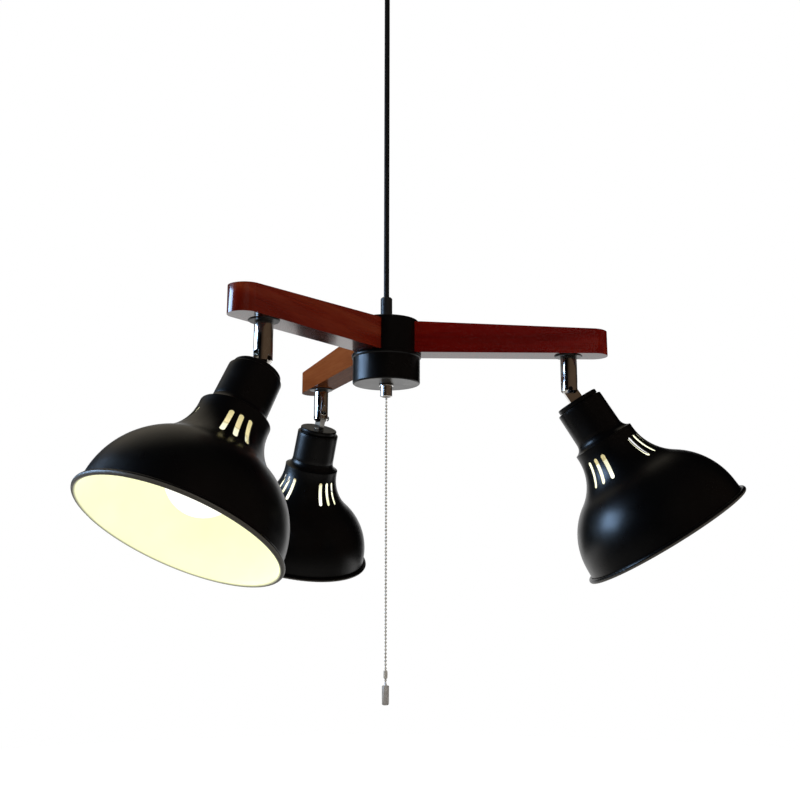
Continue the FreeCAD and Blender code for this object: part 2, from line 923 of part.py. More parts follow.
def make_hub_cup():
    """Lower cup with a rolled rim just under the arms and a hole for the switch."""
    rim = -size.arm_bottom_at_hub
    rim_low = rim - size.cup_rim_height
    bottom = -size.cup_bottom_depth
    radius = cup_radius
    curve = size.cup_round
    hole = size.snout_radius + size.fit_gap
    keep(turned("hub_cup", [
        (hole, bottom),
        (radius - curve, bottom),
        Bend(curve, 1),
        (radius, bottom + curve),
        (radius, rim_low - size.cup_rim_slope),
        (cup_rim_radius, rim_low),
        (cup_rim_radius, rim),
        (cup_inside, rim),
        (cup_inside, bottom + size.hub_wall),
        (hole, bottom + size.hub_wall),
    ]), z=arms_level)


def make_hub_terminal():
    """Terminal block under the hub plate, beside the switch, that joins the arm leads."""
    level = arms_level + hub_plate_low - size.hub_terminal_height
    body = block(size.hub_terminal_length, size.hub_terminal_width, size.hub_terminal_height, 0, 0, 0)
    holes = []
    for step in (-1, 0, 1):
        across = size.hub_terminal_length / 3.3 * step
        holes.append(cylinder(
            size.core_radius + size.fit_gap,
            size.hub_terminal_width,
            x=across,
            y=size.hub_terminal_width / 2,
            z=size.hub_terminal_height * 0.6,
            yaw=-90,
            pitch=90,
        ))
        holes.append(cylinder(size.core_radius * 1.6, size.hub_terminal_height / 2, x=across))
    between = size.arm_angle + 60
    x = hub_terminal_reach * cosine(between)
    y = hub_terminal_reach * sine(between)
    keep(cut(body, fuse(holes), "hub_terminal"), x, y, level, yaw=between - 90)


# arms


def make_arm(name, angle):
    """Tapered wooden arm with a round end, a wiring bore and a seat for the stem."""
    arm = new_body(f"arm_{name}")
    root = size.arm_root_reach
    hub = cup_rim_radius
    end = size.arm_length
    half = size.arm_width / 2
    profile = [
        (root, -size.arm_bottom_at_hub),
        (hub, -size.arm_bottom_at_hub),
        (end, -size.arm_bottom_at_end),
        (end, size.arm_top_at_end),
        (hub, size.arm_top_at_hub),
        (root, size.arm_top_at_hub),
    ]
    pad(arm, "XZ_Plane", [profile], size.arm_width)
    beyond = end + half
    corner = end - half
    round_end = [
        (corner, -half),
        Bend(half, 1),
        (end, 0),
        Bend(half, 1),
        (corner, half),
        (corner, half * 2),
        (beyond, half * 2),
        (beyond, -half * 2),
        (corner, -half * 2),
    ]
    tall = (size.arm_top_at_hub + size.arm_bottom_at_end) * 2
    pocket(arm, "XY_Plane", [round_end], tall, symmetric=True)
    drill(arm, size.stem_thread_radius + size.running_gap, tall, x=stem_reach, z=-tall / 2)
    drill(arm, plate_radius + size.fit_gap, size.arm_width, x=stem_reach,
          z=plate_seat_level - size.arm_width)
    drill(arm, size.nut_recess_radius, size.arm_width, x=stem_reach, z=nut_seat_level)
    drill(arm, size.wire_bore_radius, stem_reach, pitch=90)
    for side in (-1, 1):
        drill(arm, size.hub_screw_radius + size.fit_gap, size.hub_screw_length,
              x=hub_screw_reach, y=size.hub_screw_offset * side, z=-size.arm_bottom_at_hub - 1)
    keep(arm, z=arms_level, yaw=angle)


def make_arm_leads():
    """One two-core lead in each arm's wiring bore."""
    start = size.arm_root_reach - 2
    length = stem_reach - size.nut_recess_radius - start
    leads = []
    for angle in arm_angles:
        leads.append(cylinder(
            size.lead_radius,
            length,
            x=start * cosine(angle),
            y=start * sine(angle),
            yaw=angle,
            pitch=90,
        ))
    keep(group(leads, "arm_leads"), z=arms_level)


def make_stem_plates():
    """Round cover plates let into the arms' undersides, one round each stem."""
    plates = []
    for angle in arm_angles:
        plate = turned("StemPlate", [
            (size.stem_thread_radius + size.running_gap, 0),
            (plate_radius - size.plate_thickness / 2, 0),
            (plate_radius, size.plate_thickness / 2),
            (plate_radius, size.plate_thickness),
            (size.stem_thread_radius + size.running_gap, size.plate_thickness),
        ])
        plates.append(put(plate, stem_reach * cosine(angle), stem_reach * sine(angle), 0))
    keep(group(plates, "stem_plates"), z=arms_level + plate_low_level)


# stems


def make_stem(name, angle, swivel):
    """Tube with a threaded top and a slotted lower end for the knuckle."""
    tube_top = size.stem_drop - size.running_gap
    thread_top = nut_seat_level - pivot_level + size.running_gap + size.stem_nut_height + 1
    low = -size.pivot_to_stem_end
    chamfer = size.stem_chamfer
    bore = size.stem_wire_radius
    slot_top = size.tongue_radius + size.loose_gap * 2
    stem = turned(f"stem_{name}", [
        (bore, low),
        (size.stem_radius - chamfer, low),
        (size.stem_radius, low + chamfer),
        (size.stem_radius, tube_top),
        (size.stem_thread_radius, tube_top),
        (size.stem_thread_radius, thread_top),
        (bore, thread_top),
    ])
    half_slot = size.tongue_thickness / 2 + size.running_gap
    slot = [(-half_slot, low - 1), (half_slot, low - 1), (half_slot, slot_top), (-half_slot, slot_top)]
    pocket(stem, "YZ_Plane", [slot], size.stem_radius * 3, symmetric=True)
    drill(stem, size.pin_radius + size.fit_gap, size.stem_radius * 3, y=size.stem_radius * 1.5,
          yaw=-90, pitch=90)
    keep(stem, *stem_place(angle), yaw=angle + swivel)


def stem_place(angle):
    """The tilt pin's centre."""
    return (
        stem_reach * cosine(angle),
        stem_reach * sine(angle),
        arms_level + pivot_level,
    )


def make_stem_nut(name, angle):
    stem_nut = nut(f"stem_nut_{name}", size.stem_nut_flats, size.stem_nut_height,
                   size.stem_thread_radius + size.fit_gap)
    x, y, _ = stem_place(angle)
    keep(stem_nut, x, y, arms_level + nut_seat_level + size.running_gap, yaw=angle)


def make_pivot_screw(name, angle, swivel):
    """Cross pin with a low slotted head on one side of the stem."""
    screw = turned(f"pivot_screw_{name}", [
        (0, -size.stem_radius),
        (size.pin_radius, -size.stem_radius),
        (size.pin_radius, size.stem_radius),
        (size.pin_head_radius, size.stem_radius),
        (size.pin_head_radius, size.stem_radius + size.pin_head_height / 2),
        (size.pin_head_radius - size.pin_head_height / 2, size.stem_radius + size.pin_head_height),
        (0, size.stem_radius + size.pin_head_height),
    ])
    half = size.pin_head_height / 4
    head_top = size.stem_radius + size.pin_head_height
    slot = [
        (-size.pin_head_radius * 2, head_top - half * 2),
        (size.pin_head_radius * 2, head_top - half * 2),
        (size.pin_head_radius * 2, head_top + 1),
        (-size.pin_head_radius * 2, head_top + 1),
    ]
    pocket(screw, "XZ_Plane", [slot], half * 2, symmetric=True)
    keep(screw, *stem_place(angle), yaw=angle + swivel + PIN_HEAD_TURN[name], pitch=90)


# heads


def head_pose(angle, swivel, tilt):
    """Place of a head's parts: at the pin, pointing down and out along the arm."""
    return {"yaw": angle + swivel, "pitch": formula(180) - tilt}


def make_knuckle(name, place, pose):
    """Round-ended tongue in the stem's slot, with a threaded stud below the cap."""
    knuckle = new_body(f"knuckle_{name}")
    radius = size.tongue_radius
    seat = size.pin_to_cap
    pad(knuckle, "XZ_Plane", [[
        (-radius, 0),
        Bend(radius, 1),
        (0, -radius),
        Bend(radius, 1),
        (radius, 0),
        (radius, seat),
        (-radius, seat),
    ]], size.tongue_thickness)
    revolve(knuckle, [
        (0, seat),
        (size.stud_radius, seat),
        (size.stud_radius, stud_end),
        (0, stud_end),
    ])
    drill(knuckle, size.pin_radius + size.running_gap, size.tongue_thickness * 2,
          y=size.tongue_thickness, yaw=-90, pitch=90)
    keep(knuckle, *place, **pose)


def make_cap(name, place, pose):
    """Stepped disc that closes the socket cover."""
    bore = size.stud_radius + size.fit_gap
    start = size.pin_to_cap
    chamfer = size.cap_chamfer
    step = start + size.cap_thickness
    neck = cap_radius - size.cap_neck_step
    keep(turned(f"cap_{name}", [
        (bore, start),
        (cap_radius - chamfer, start),
        (cap_radius, start + chamfer),
        (cap_radius, step),
        (neck, step),
        (neck, cover_start),
        (bore, cover_start),
    ]), *place, **pose)


def make_socket_cover(name, place, pose):
    """Slightly tapered sleeve round the lampholder."""
    bore = size.stud_radius + size.fit_gap
    start = cover_start
    chamfer = size.cover_chamfer
    inside = start + size.cover_top_sheet
    keep(turned(f"socket_cover_{name}", [
        (bore, start),
        (cover_top_radius - chamfer, start),
        (cover_top_radius, start + chamfer),
        (cover_bottom_radius, shade_seat),
        (cover_bottom_radius - size.cover_wall, shade_seat),
        (cover_top_radius - size.cover_wall, inside),
        (bore, inside),
    ]), *place, **pose)


def make_lampholder(name, place, pose):
    """Screw lampholder: flange above the shade, threaded skirt through it."""
    top = cover_start + size.cover_top_sheet
    body = skirt_radius - size.holder_step
    bore = size.stud_radius + size.fit_gap
    thread_bore = size.bulb_cap_radius + size.bulb_thread_gap
    flange_top = shade_seat - size.holder_flange_height
    blind = stud_end + size.fit_gap
    keep(turned(f"lampholder_{name}", [
        (bore, top),
        (body, top),
        (body, flange_top),
        (holder_flange_radius, flange_top),
        (holder_flange_radius, shade_seat),
        (skirt_radius, shade_seat),
        (skirt_radius, holder_end),
        (skirt_inside, holder_end),
        (skirt_inside, bulb_cap_end),
        (thread_bore, bulb_cap_end),
        (thread_bore, holder_floor),
        (0, holder_floor),
        (0, blind),
        (bore, blind),
    ]), *place, **pose)


def shade_profile(inset):
    """The bell's line from neck to mouth, moved inwards by inset."""
    flare = size.shade_flare_radius
    dome = size.shade_dome_radius
    lean = size.shade_flare_angle
    final = size.shade_rim_angle
    neck = shade_neck_radius
    turn_radius = neck + flare * (formula(1) - cosine(lean))
    turn_height = shade_neck_end + flare * sine(lean)
    end_radius = turn_radius + dome * (cosine(final) - cosine(lean))
    end_height = turn_height + dome * (sine(lean) - sine(final))
    mouth_radius = end_radius + size.shade_rim_length * sine(final) / cosine(final)
    return [
        (neck - inset, shade_neck_end),
        Bend(flare + inset, -1),
        (turn_radius - inset * cosine(lean), turn_height + inset * sine(lean)),
        Bend(dome - inset, 1),
        (end_radius - inset * cosine(final), end_height + inset * sine(final)),
        (mouth_radius - inset, end_height + size.shade_rim_length),
    ]


def reversed_outline(outline):
    """The same stretches walked the other way, so each arc turns the other way."""
    walked = []
    for item in reversed(outline):
        walked.append(Bend(item.radius, -item.side) if isinstance(item, Bend) else item)
    return walked


def make_shade(name, place, pose):
    """Spun bell with a coved top, a beaded rim and groups of vent slots in its neck."""
    wall = size.shade_wall
    seat = shade_seat
    hole = skirt_radius + size.loose_gap
    outer = shade_profile(formula(0))
    inner = reversed_outline(shade_profile(wall))
    mouth_radius, mouth_height = outer[-1]
    bead = size.rim_bead_radius
    offset = size.rim_bead_offset
    bead_centre = mouth_radius + offset
    bead_height = mouth_height + root(bead * bead - offset * offset)
    cove = size.shade_cove_radius
    outline = [
        (hole, seat + wall),
        (hole, seat),
        (shade_shoulder_radius, seat),
        Bend(cove, -1),
        (shade_neck_radius, shade_neck_start),
    ] + outer + [
        Bend(bead, 1),
        (bead_centre, bead_height - bead),
        Bend(bead, 1),
        (bead_centre + bead, bead_height),
        Bend(bead, 1),
        (bead_centre, bead_height + bead),
        Bend(bead, 1),
        (bead_centre - bead, bead_height),
    ] + inner + [
        (shade_neck_radius - wall, shade_neck_start + wall),
        Bend(cove + wall, 1),
        (shade_shoulder_radius - wall, seat + wall),
    ]
    shade = turned(f"shade_{name}", outline)
    half = size.vent_width / 2
    near = shade_neck_end + size.vent_start + half
    far = near + size.vent_length - size.vent_width
    vent = long_hole(near, far, 0, half, upright=True)
    vents = []
    for turn in (-size.vent_step_angle, 0, size.vent_step_angle):
        vents.append(pocket(shade, "YZ_Plane", [vent], size.shade_dome_radius, reverse=True, turn=turn))
    polar(shade, vents, size.vent_group_count.value)
    keep(shade, *place, spin=getattr(size, f"shade_turn_{name}"), **pose)


def make_shade_ring(name, place, pose):
    """Threaded ring that clamps the shade under the lampholder's flange."""
    bore = skirt_radius + size.fit_gap
    flange = ring_body_radius + size.ring_flange
    start = shade_seat + size.shade_wall
    keep(turned(f"shade_ring_{name}", [
        (bore, start),
        (flange, start),
        (flange, start + size.ring_flange_height),
        (ring_body_radius, start + size.ring_flange_height),
        (ring_body_radius, start + size.ring_height),
        (bore, start + size.ring_height),
    ]), *place, **pose)


def make_bulb(name, place, pose):
    """Screw cap and thin glass globe, as two solids that meet at the cap's rim."""
    start = holder_floor
    thread = start + size.bulb_contact_height + size.bulb_cap_taper
    rim = bulb_cap_end
    cap = turned("BulbCap", [
        (0, start),
        (size.bulb_contact_radius, start),
        (size.bulb_contact_radius, start + size.bulb_contact_height),
        (size.bulb_cap_radius, thread),
        (size.bulb_cap_radius, rim),
        (0, rim),
    ])
    globe = size.bulb_radius
    inside = globe - size.bulb_glass
    lean = size.bulb_neck_angle
    centre = holder_floor + size.bulb_to_centre
    glass = turned("BulbGlobe", [
        (size.bulb_cap_radius - size.bulb_glass, rim),
        (size.bulb_cap_radius, rim),
        (size.bulb_neck_radius, holder_end),
        (globe * sine(lean), centre - globe * cosine(lean)),
        Bend(globe, 1),
        (globe, centre),
        Bend(globe, 1),
        (0, centre + globe),
        (0, centre + inside),
        Bend(inside, -1),
        (inside, centre),
        Bend(inside, -1),
        (inside * sine(lean), centre - inside * cosine(lean)),
        (size.bulb_neck_radius - size.bulb_glass, holder_end),
    ])
    keep(group([cap, glass], f"bulb_{name}"), *place, **pose)


# pull switch


def make_switch_bracket():
    """U-shaped strip that hangs the switch from the hub plate."""
    top = hub_plate_low
    floor = size.hub_wall - size.cup_bottom_depth
    strip = size.bracket_strip_sheet
    inside = size.switch_length / 2 + size.switch_side_gap
    outside = inside + strip
    bracket = new_body("switch_bracket")
    pad(bracket, "XZ_Plane", [[
        (-outside, floor),
        (outside, floor),
        (outside, top),
        (inside, top),
        (inside, floor + strip),
        (-inside, floor + strip),
        (-inside, top),
        (-outside, top),
    ]], size.bracket_strip)
    drill(bracket, size.snout_radius + size.fit_gap, strip * 3, z=floor - strip)
    keep(bracket, z=arms_level)


def make_pull_switch():
    """Switch body with a threaded snout that the pull rod runs in."""
    body = new_body("pull_switch")
    half_length = size.switch_length / 2
    half_width = size.switch_width / 2
    corner = size.switch_corner
    sketch = new_sketch(body, "XY_Plane", "Outline")
    draw_outline(sketch, [
        (corner - half_length, -half_width),
        (half_length - corner, -half_width),
        (half_length, corner - half_width),
        (half_length, half_width - corner),
        (half_length - corner, half_width),
        (corner - half_length, half_width),
        (-half_length, half_width - corner),
        (-half_length, corner - half_width),
    ])
    feature = body.newObject("PartDesign::Pad", "Case")
    feature.Profile = sketch
    feature.setExpression("Length", size.switch_height.text)
    revolve(body, [
        (0, -size.snout_length),
        (size.snout_radius, -size.snout_length),
        (size.snout_radius, 0),
        (0, 0),
    ])
    cavity = size.plunger_head_height + size.pull_travel + size.loose_gap * 2
    drill(body, snout_bore_radius, size.snout_length + size.switch_floor + 1, z=-size.snout_length)
    drill(body, switch_cavity_radius, cavity, z=size.switch_floor)
    keep(body, z=switch_level)


def make_switch_nipple():
    """Bright nut with a bell mouth, screwed on the switch's snout under the cup."""
    length = size.nipple_nut_length
    bore = size.snout_radius + size.fit_gap
    snout = size.snout_length - size.bracket_strip_sheet - size.hub_wall
    throat = snout_bore_radius + size.loose_gap
    flare = size.nipple_mouth_radius
    radius = nipple_nut_radius
    flange = nipple_nut_radius + size.nipple_nut_flange
    edge = (radius - flare) / 2
    keep(turned("switch_nipple", [
        (bore, 0),
        (bore, -snout - size.loose_gap),
        (throat, -snout - size.loose_gap),
        (throat, flare - throat - length),
        Bend(flare - throat, -1),
        (flare, -length),
        (radius - edge, -length),
        Bend(edge, 1),
        (radius, edge - length),
        (radius, -size.nipple_nut_flange_height),
        (flange, -size.nipple_nut_flange_height),
        (flange, 0),
    ]), z=arms_level - size.cup_bottom_depth)


def make_switch_plunger():
    """Rod that the chain pulls down, with its stop head inside the switch."""
    head_top = size.switch_floor + size.pull_travel + size.plunger_head_height + size.loose_gap
    head_low = head_top - size.plunger_head_height
    keep(turned("switch_plunger", [
        (0, -size.snout_length),
        (size.plunger_rod_radius, -size.snout_length),
        (size.plunger_rod_radius, head_low),
        (size.plunger_head_radius, head_low),
        (size.plunger_head_radius, head_top),
        (0, head_top),
    ]), z=switch_level)


def make_pull_chain():
    """Ball chain, turned in one piece with the thin links between its balls."""
    ball = size.ball_radius
    neck = size.ball_link_radius
    half_ball = math.sqrt(ball.value ** 2 - neck.value ** 2)
    pitch = size.ball_pitch.value
    count = int(size.ball_count.value)
    edges = []
    start = Vector(neck.value, 0, 0)
    for index in range(count):
        centre = -(pitch / 2 + index * pitch)
        upper = Vector(neck.value, 0, centre + half_ball)
        lower = Vector(neck.value, 0, centre - half_ball)
        edges.append(Part.makeLine(start, upper))
        edges.append(Part.Arc(upper, Vector(ball.value, 0, centre), lower).toShape())
        start = lower
    bottom = -pitch * count
    edges.append(Part.makeLine(start, Vector(neck.value, 0, bottom)))
    edges.append(Part.makeLine(Vector(neck.value, 0, bottom), Vector(0, 0, bottom)))
    edges.append(Part.makeLine(Vector(0, 0, bottom), Vector(0, 0, 0)))
    edges.append(Part.makeLine(Vector(0, 0, 0), Vector(neck.value, 0, 0)))
    face = Part.Face(Part.Wire(edges))
    chain = doc.addObject("Part::Feature", "pull_chain")
    chain.Label = "pull_chain"
    chain.Shape = face.revolve(Vector(0, 0, 0), Vector(0, 0, 1), 360)
    keep(chain, z=chain_top)


def make_chain_coupling():
    """Bell-shaped coupling and the single ball between it and the pull end."""
    radius = size.coupling_radius
    length = size.coupling_length
    sleeve = turned("CouplingSleeve", [
        (0, 0),
        (size.ball_radius, 0),
        (radius, -size.ball_radius),
        (radius, size.ball_radius - length),
        (size.ball_radius, -length),
        (0, -length),
    ])
    ball = size.ball_radius
    bead = turned("CouplingBead", [
        (0, 0),
        Bend(ball, -1),
        (ball, -ball),
        Bend(ball, -1),
        (0, -ball * 2),
    ])
    put(bead, z=-length)
    keep(group([sleeve, bead], "chain_coupling"), z=coupling_top)


def make_pull_end():
    """Plain turned weight at the end of the chain, with a small cone on its top."""
    neck = size.pull_neck_radius
    shoulder = -size.pull_neck_length
    radius = size.pull_end_radius
    bottom = shoulder - size.pull_end_length
    chamfer = size.pull_end_chamfer
    keep(turned("pull_end", [
        (0, 0),
        (neck, 0),
        (neck * 2, shoulder),
        (radius - chamfer, shoulder),
        (radius, shoulder - chamfer),
        (radius, bottom + chamfer),
        (radius - chamfer, bottom),
        (0, bottom),
    ]), z=pull_end_top)


def build():
    make_bracket()
    make_bracket_nipple()
    make_lock_nut()
    make_canopy()
    make_canopy_nut()
    make_cord_grip()
    make_grip_screw()
    make_supply_terminal()
    make_cord_tail()
    make_cord()
    make_gland()
    make_gland_nut()
    make_hub_housing()
    make_hub_plate()
    make_hub_screws()
    make_hub_cup()
    make_hub_terminal()
    make_arm_leads()
    make_stem_plates()
    make_switch_bracket()
    make_pull_switch()
    make_switch_nipple()
    make_switch_plunger()
    make_pull_chain()
    make_chain_coupling()
    make_pull_end()
    for name, angle in zip(HEADS, arm_angles):
        swivel = getattr(size, f"swivel_{name}")
        place = stem_place(angle)
        pose = head_pose(angle, swivel, getattr(size, f"tilt_{name}"))
        make_arm(name, angle)
        make_stem(name, angle, swivel)
        make_stem_nut(name, angle)
        make_pivot_screw(name, angle, swivel)
        make_knuckle(name, place, pose)
        make_cap(name, place, pose)
        make_socket_cover(name, place, pose)
        make_lampholder(name, place, pose)
        make_shade(name, place, pose)
        make_shade_ring(name, place, pose)
        make_bulb(name, place, pose)


def check():
    """Stops on any failed object and on any sub-part without a sound shape."""
    for thing in doc.Objects:
        if "Invalid" in thing.State or "Error" in thing.State:
            raise RuntimeError(f"{thing.Name} ({thing.Label}) failed: {thing.State}")
    for label, thing in parts.items():
        if thing.Shape.isNull() or not thing.Shape.isValid() or not thing.Shape.Solids:
            raise RuntimeError(f"{label} has no sound shape")


def export():
    os.makedirs("parts", exist_ok=True)
    for label, thing in parts.items():
        thing.Shape.exportStep(f"parts/{label}.step")


build()
doc.recompute()
check()
export()
print(f"{len(parts)} sub-parts written")
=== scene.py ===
"""Looks of a pendant lamp with three wooden arms and three tilting bell shades.

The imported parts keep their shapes. This script rounds their edges, gives each its
finish, and adds the cord, the lit bulbs, the light and the camera. Lengths are in
metres, in the part's own frame: +Z is up and the ceiling is at zero.
"""
import math

import bmesh
import bpy
from mathutils import Matrix, Vector
from mathutils.geometry import interpolate_bezier


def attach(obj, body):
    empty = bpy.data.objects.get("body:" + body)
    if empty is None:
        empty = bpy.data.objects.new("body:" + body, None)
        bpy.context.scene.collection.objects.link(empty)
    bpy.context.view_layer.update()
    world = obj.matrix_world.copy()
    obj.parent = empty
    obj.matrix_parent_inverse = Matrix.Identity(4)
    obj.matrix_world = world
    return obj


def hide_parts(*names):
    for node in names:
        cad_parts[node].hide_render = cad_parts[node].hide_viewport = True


HEADS = ("right", "back", "left")

# camera, worked out from the photograph's perspective
PICTURE_SIZE = 800
FOCAL_PIXELS = 940.86
SENSOR_WIDTH = 36.0
CAMERA_PLACE = (0.0134, -0.9001, -0.6647)
CAMERA_PITCH = 10.24

# cord, repeated from the part's source
CORD_RADIUS = 0.0027
CORD_HEIGHTS = (-0.0559, -0.15, -0.25, -0.345, -0.4393)

# arms and heads, repeated from the part's source
ARM_TURNS = {"right": -4.2, "back": 115.8, "left": 235.8}
HEAD_TURNS = {"right": -0.1, "back": 120.0, "left": 229.2}
HEAD_TILTS = {"right": 32.0, "back": 23.3, "left": 28.2}
STEM_REACH = 0.1764
PIN_HEIGHT = -0.494504

# which of a shade's faces are enamel, by their distance from the tilt pin along the head's
# axis, their radius, and how far they face the axis or the mouth
SHADE_TOP_END = 0.062
BEAD_INSIDE = 0.1612
BEAD_MIDDLE = 0.1622
MOUTH_RADIUS = 0.0797
FACES_AXIS = -0.2
FACES_MOUTH = 0.8

# bulb, along its head's axis from the tilt pin; its cap is where the part's own bulb has it
BULB_CONTACT = (0.0048, 0.029)
BULB_CAP = (0.0131, 0.055)
BULB_CAP_TAPER = 0.006
BULB_NECK = (0.0166, 0.0604)
BULB_RADIUS = 0.03
BULB_CENTRE = 0.1155
BULB_SHOULDER = math.radians(40)
BULB_NECK_POINTS = 14
BULB_GLOBE_STEPS = 26
BULB_SIDES = 96

# the opal glass is dimmer near a point just past the bulb's neck
OPAL_DIM_PLACE = BULB_NECK[1] + 0.01
OPAL_DIM = (0.014, 0.034)

# distances from the bulb's centre over which the enamel's painted pool of light fades from white,
# and over which painted shade darkens it on the bead
PAINTED_GLOW_FADE = (0.052, 0.066)
PAINTED_BEAD_SHADE = (0.0929, 0.0951)

# lacquer and wood of each arm; the tones are dark, middle and light. The same wood is lighter and
# oranger on the back arm as painted light from the left, and darker on the right and left arms as
# painted shade
LACQUER_GLOSS = {"right": 0.85, "back": 0.15, "left": 1.0}
LACQUER_ROUGHNESS = 0.16
ARM_TONES_WITH_PAINTED_LIGHT = {
    "right": ((0.045, 0.0003, 0.0001), (0.075, 0.0006, 0.0002), (0.13, 0.007, 0.0008)),
    "back": ((0.12, 0.034, 0.011), (0.18, 0.058, 0.02), (0.24, 0.085, 0.032)),
    "left": ((0.042, 0.002, 0.0008), (0.075, 0.0055, 0.002), (0.12, 0.02, 0.007)),
}

# edges sharper than this are rounded, once vertices this near to each other are joined
SHARP_EDGE = math.radians(40)
WELD_DISTANCE = 0.00001
ROUNDING = 0.0004
FINE_ROUNDING = ROUNDING / 2
SCREW_ROUNDING = ROUNDING / 4
ARM_ROUNDING = 0.0011
ROUNDING_SEGMENTS = 3

# finish, rounding and names of the parts that come once, and of those that each head has
SINGLE_PARTS = (
    ("lacquer", ROUNDING, ("canopy", "canopy_nut", "hub_housing", "hub_cup")),
    ("steel", FINE_ROUNDING, ("mounting_bracket", "bracket_nipple", "lock_nut", "grip_screw")),
    ("steel", FINE_ROUNDING, ("hub_plate", "hub_screws", "switch_bracket", "switch_plunger")),
    ("black_plastic", FINE_ROUNDING, ("cord_grip", "gland", "gland_nut")),
    ("white_plastic", ROUNDING, ("supply_terminal", "hub_terminal", "pull_switch")),
    ("jacket", 0.0, ("cord_tail", "arm_leads", "cord", "cord_bend")),
    ("chrome", FINE_ROUNDING, ("switch_nipple",)),
    ("black_oxide", FINE_ROUNDING, ("stem_plates",)),
    ("nickel", 0.0, ("pull_chain", "chain_coupling")),
    ("grey_metal", FINE_ROUNDING, ("pull_end",)),
)
HEAD_PARTS = (
    ("chrome", FINE_ROUNDING, ("stem", "knuckle")),
    ("steel", FINE_ROUNDING, ("stem_nut",)),
    ("black_oxide", SCREW_ROUNDING, ("pivot_screw",)),
    ("lacquer", FINE_ROUNDING, ("cap", "socket_cover")),
    ("white_plastic", ROUNDING, ("lampholder",)),
    ("black_plastic", FINE_ROUNDING, ("shade_ring",)),
)

# floor; it is as white as the backdrop from the far distance on, and shows in the lamp's
# gloss from this far behind the lamp
FLOOR_HEIGHT = -2.3
FLOOR_RADIUS = 9.0
FLOOR_SIDES = 96
FLOOR_FAR = (1.5, 5.0)
FLOOR_BEHIND = (0.5, 3.0)

LIGHT_AIM = Vector((0.0, 0.0, -0.5))

# most values of a noise texture lie in this range
NOISE_RANGE = (0.3, 0.7)


def head_matrix(name):
    """Frame of a head: origin on its tilt pin, +Z along its axis, out of the shade's mouth."""
    arm = math.radians(ARM_TURNS[name])
    pin = Vector((STEM_REACH * math.cos(arm), STEM_REACH * math.sin(arm), PIN_HEIGHT))
    yaw = Matrix.Rotation(math.radians(HEAD_TURNS[name]), 4, "Z")
    pitch = Matrix.Rotation(math.radians(180 - HEAD_TILTS[name]), 4, "Y")
    return Matrix.Translation(pin) @ yaw @ pitch


# materials


class Graph:
    """A node tree, built up from small steps."""

    def __init__(self, tree):
        self.tree = tree

    def feed(self, socket, value):
        """Sets an input to a value or joins another node's output to it."""
        if isinstance(value, bpy.types.NodeSocket):
            self.tree.links.new(value, socket)
        else:
            socket.default_value = value

    def node(self, kind, inputs=None, **settings):
        """A node with its settings; an input is a value or another node's output."""
        node = self.tree.nodes.new(kind)
        for name, value in settings.items():
            setattr(node, name, value)
        for name, value in (inputs or {}).items():
            self.feed(node.inputs[name], value)
        return node

    def maths(self, operation, first, second):
        node = self.node("ShaderNodeMath", {0: first, 1: second}, operation=operation)
        return node.outputs["Value"]

    def vector_maths(self, operation, first, second):
        """The node itself, since some operations give a value and some a vector."""
        return self.node("ShaderNodeVectorMath", {0: first, 1: second}, operation=operation)

    def coordinates(self, kind="Object"):
        return self.node("ShaderNodeTexCoord").outputs[kind]

    def span(self, factor, low, high, start=NOISE_RANGE[0], end=NOISE_RANGE[1], ease="LINEAR"):
        """Goes from the low to the high value as the factor goes from start to end."""
        limits = {"From Min": start, "From Max": end, "To Min": low, "To Max": high}
        node = self.node("ShaderNodeMapRange", {"Value": factor, **limits}, interpolation_type=ease)
        return node.outputs["Result"]

    def mix(self, factor, first, second):
        """Goes from the first to the second colour as the factor goes from zero to one."""
        node = self.node("ShaderNodeMix", {"Factor": factor}, data_type="RGBA")
        for name, colour in (("A", first), ("B", second)):
            self.feed(node.inputs[name], (*colour, 1.0) if isinstance(colour, tuple) else colour)
        return node.outputs["Result"]


class Finish(Graph):
    """A new material and its node tree."""

    def __init__(self, name):
        self.material = bpy.data.materials.new(name)
        self.material.use_nodes = True
        super().__init__(self.material.node_tree)
        self.shader = self.tree.nodes["Principled BSDF"]

    def set(self, **inputs):
        """Sets the shader's inputs, each to a value or to another node's output."""
        for name, value in inputs.items():
            self.feed(self.shader.inputs[name.replace("_", " ")], value)

    def place(self, stretch=(1, 1, 1), turn=0.0):
        """Object coordinates, turned about Z and then stretched along each axis."""
        inputs = {
            "Vector": self.coordinates(),
            "Rotation": (0, 0, math.radians(turn)),
            "Scale": tuple(1 / share for share in stretch),
        }
        return self.node("ShaderNodeMapping", inputs, vector_type="TEXTURE").outputs["Vector"]

    def noise(self, scale, detail=3.0, roughness=0.5, stretch=(1, 1, 1), turn=0.0, distortion=0.0):
        """Noise with that many features to the metre, about 0.5 on average."""
        inputs = {
            "Vector": self.place(stretch, turn),
            "Scale": scale,
            "Detail": detail,
            "Roughness": roughness,
            "Distortion": distortion,
        }
        return self.node("ShaderNodeTexNoise", inputs).outputs["Fac"]

    def distance(self, point):
        """Distance from that point, in the mesh's own coordinates."""
        return self.vector_maths("DISTANCE", self.coordinates(), point).outputs["Value"]

    def ramp(self, factor, *stops):
        """Colours by factor, from stops of (position, colour)."""
        node = self.node("ShaderNodeValToRGB", {"Fac": factor})
        elements = node.color_ramp.elements
        while len(elements) < len(stops):
            elements.new(0.5)
        for element, (position, colour) in zip(elements, stops):
            element.position = position
            element.color = (*colour, 1.0)
        return node.outputs["Color"]

    def tones(self, noise, first, second):
        """Colours between two, by a noise texture's value."""
        return self.ramp(noise, (NOISE_RANGE[0], first), (NOISE_RANGE[1], second))

    def bump(self, height, distance):
        node = self.node("ShaderNodeBump", {"Height": height, "Distance": distance})
        self.set(Normal=node.outputs["Normal"])


def darker(colour, share):
    return tuple(channel * share for channel in colour)


